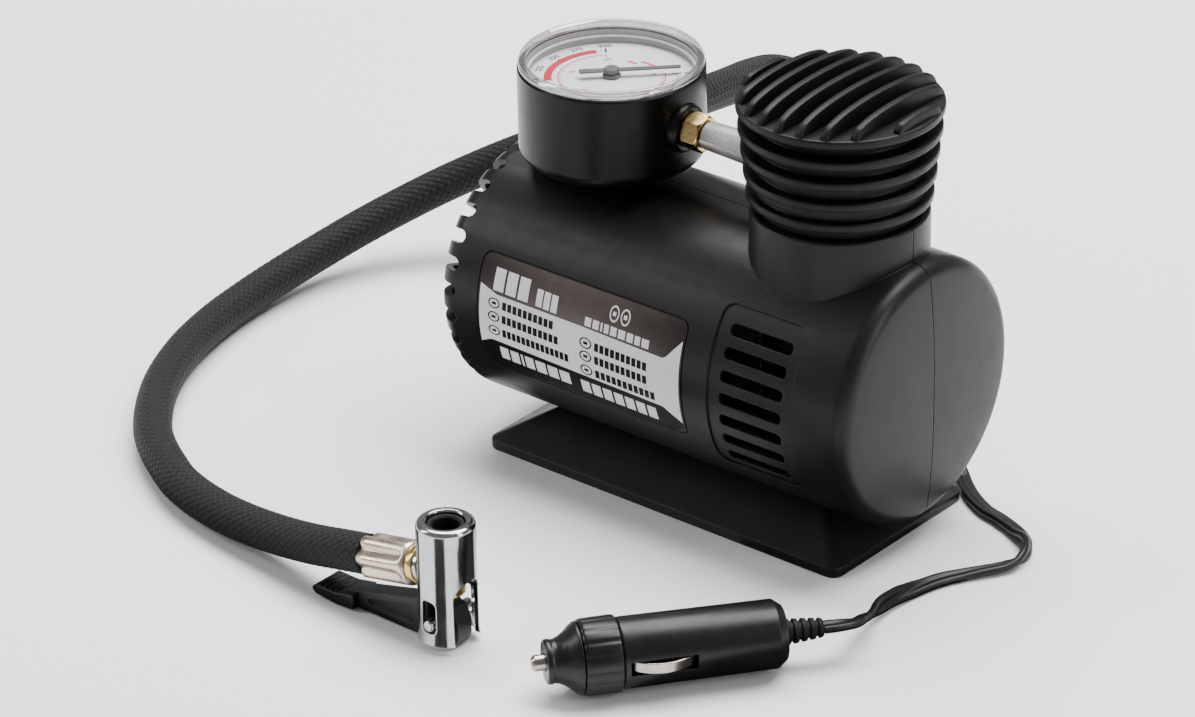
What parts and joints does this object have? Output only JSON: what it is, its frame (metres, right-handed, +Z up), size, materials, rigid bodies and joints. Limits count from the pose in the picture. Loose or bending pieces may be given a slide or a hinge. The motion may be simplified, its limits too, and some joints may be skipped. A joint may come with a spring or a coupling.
{
  "type": "portable tire inflator",
  "caption": "Portable electric air compressor with a dial pressure gauge, a finned cylinder head, an air hose with a thumb-lock valve chuck, and a cord with a vehicle plug.",
  "frame": {"origin": "centre of the underside of the base, on the surface it stands on", "axes": "+X along the body from the vented motor end to the crank end, +Y to the back, +Z up"},
  "size_m": [0.2923, 0.2302, 0.1407],
  "materials": {
    "housing_plastic": "satin",
    "head_plastic": "matte",
    "gauge_plastic": "semi-gloss",
    "switch_plastic": "semi-gloss",
    "lever_plastic": "satin",
    "plug_plastic": "satin",
    "nylon": "matte",
    "label": "printed film",
    "dial_face": "printed card",
    "pointer_grey": "satin",
    "clear_lens": "clear",
    "motor_steel": "zinc plated",
    "screw_steel": "zinc plated",
    "magnet": "sintered",
    "cast_alloy": "as cast",
    "brass": "machined",
    "copper": "drawn",
    "champagne_nickel": "satin",
    "chuck_chrome": "polished",
    "contact_nickel": "satin",
    "black_rubber": "matte",
    "hose_braid": "woven braid",
    "cord_rubber": "satin"
  },
  "bodies": {
    "inflator": {"base": "housing_plastic", "base_screw_1": "screw_steel", "base_screw_2": "screw_steel", "base_screw_3": "screw_steel", "base_screw_4": "screw_steel", "housing_front": "housing_plastic", "housing_rear": "housing_plastic", "housing_screw_1": "screw_steel", "housing_screw_2": "screw_steel", "housing_screw_3": "screw_steel", "housing_screw_4": "screw_steel", "label_plate": "label", "switch_bezel": "switch_plastic", "motor_can": "motor_steel", "motor_end_bell": "nylon", "magnet_front": "magnet", "magnet_rear": "magnet", "gear_frame": "motor_steel", "gear_axle": "screw_steel", "cylinder": "cast_alloy", "cylinder_bolt_1": "screw_steel", "cylinder_bolt_2": "screw_steel", "cylinder_head": "cast_alloy", "head_cover": "head_plastic", "gauge_cup": "gauge_plastic", "gauge_movement": "brass", "bourdon_tube": "copper", "gauge_dial": "dial_face", "gauge_lens": "clear_lens", "outlet_nut": "brass", "hose_union": "brass", "hose_root_ferrule": "champagne_nickel", "air_hose": "hose_braid", "hose_ferrule": "champagne_nickel", "chuck_body": "chuck_chrome", "chuck_seal": "black_rubber", "chuck_pivot_pin": "chuck_chrome", "cord_gland": "black_rubber", "power_cord": "cord_rubber", "plug_strain_relief": "black_rubber", "plug_body": "plug_plastic", "plug_collar": "plug_plastic", "plug_nose": "plug_plastic", "plug_fuse": "clear_lens"},
    "motor_rotor": {"rotor": "motor_steel", "pinion": "brass"},
    "crank": {"crank_gear": "nylon", "crank_pin": "screw_steel"},
    "piston_assembly": {"piston": "cast_alloy", "piston_ring": "black_rubber", "wrist_pin": "screw_steel", "connecting_rod": "cast_alloy"},
    "rocker": {"switch_rocker": "switch_plastic"},
    "pointer": {"gauge_pointer": "pointer_grey"},
    "depressor": {"chuck_depressor": "brass"},
    "lever": {"chuck_lever": "lever_plastic"},
    "tip": {"plug_tip": "contact_nickel"},
    "contact_front": {"plug_contact_front": "contact_nickel"},
    "contact_rear": {"plug_contact_rear": "contact_nickel"}
  },
  "joints": [
    {"name": "rotor_spin", "type": "hinge", "parent": "inflator", "child": "motor_rotor", "pos_m": [0, 0, 0.029], "axis": [1, 0, 0], "continuous": true},
    {"name": "crank_spin", "type": "hinge", "parent": "inflator", "child": "crank", "pos_m": [0, 0, 0.0515], "axis": [1, 0, 0], "continuous": true},
    {"name": "piston_slide", "type": "slide", "parent": "inflator", "child": "piston_assembly", "axis": [0, 0, 1], "range_m": [0, 0.014]},
    {"name": "switch_rock", "type": "hinge", "parent": "inflator", "child": "rocker", "pos_m": [-0.0774, 0, 0.0502], "axis": [0, 1, 0], "range_deg": [0, 14]},
    {"name": "pointer_turn", "type": "hinge", "parent": "inflator", "child": "pointer", "pos_m": [-0.0407, 0, 0.118], "axis": [0, 0, -1], "range_deg": [0, 270]},
    {"name": "depressor_slide", "type": "slide", "parent": "inflator", "child": "depressor", "axis": [0, 0, 1], "range_m": [0, 0.003]},
    {"name": "lever_turn", "type": "hinge", "parent": "inflator", "child": "lever", "pos_m": [0.0008, -0.1245, 0.0084], "axis": [0, -1, 0], "range_deg": [0, 88]},
    {"name": "tip_press", "type": "slide", "parent": "inflator", "child": "tip", "axis": [0.6157, 0.788, 0], "range_m": [0, 0.003], "stiffness_N_per_m": 400},
    {"name": "contact_front_press", "type": "slide", "parent": "inflator", "child": "contact_front", "axis": [-0.788, 0.6157, 0], "range_m": [0, 0.001], "stiffness_N_per_m": 300},
    {"name": "contact_rear_press", "type": "slide", "parent": "inflator", "child": "contact_rear", "axis": [0.788, -0.6157, 0], "range_m": [0, 0.001], "stiffness_N_per_m": 300}
  ],
  "couplings": [
    {"joint": "crank_spin", "follows": "rotor_spin", "ratio": -0.25}
  ]
}
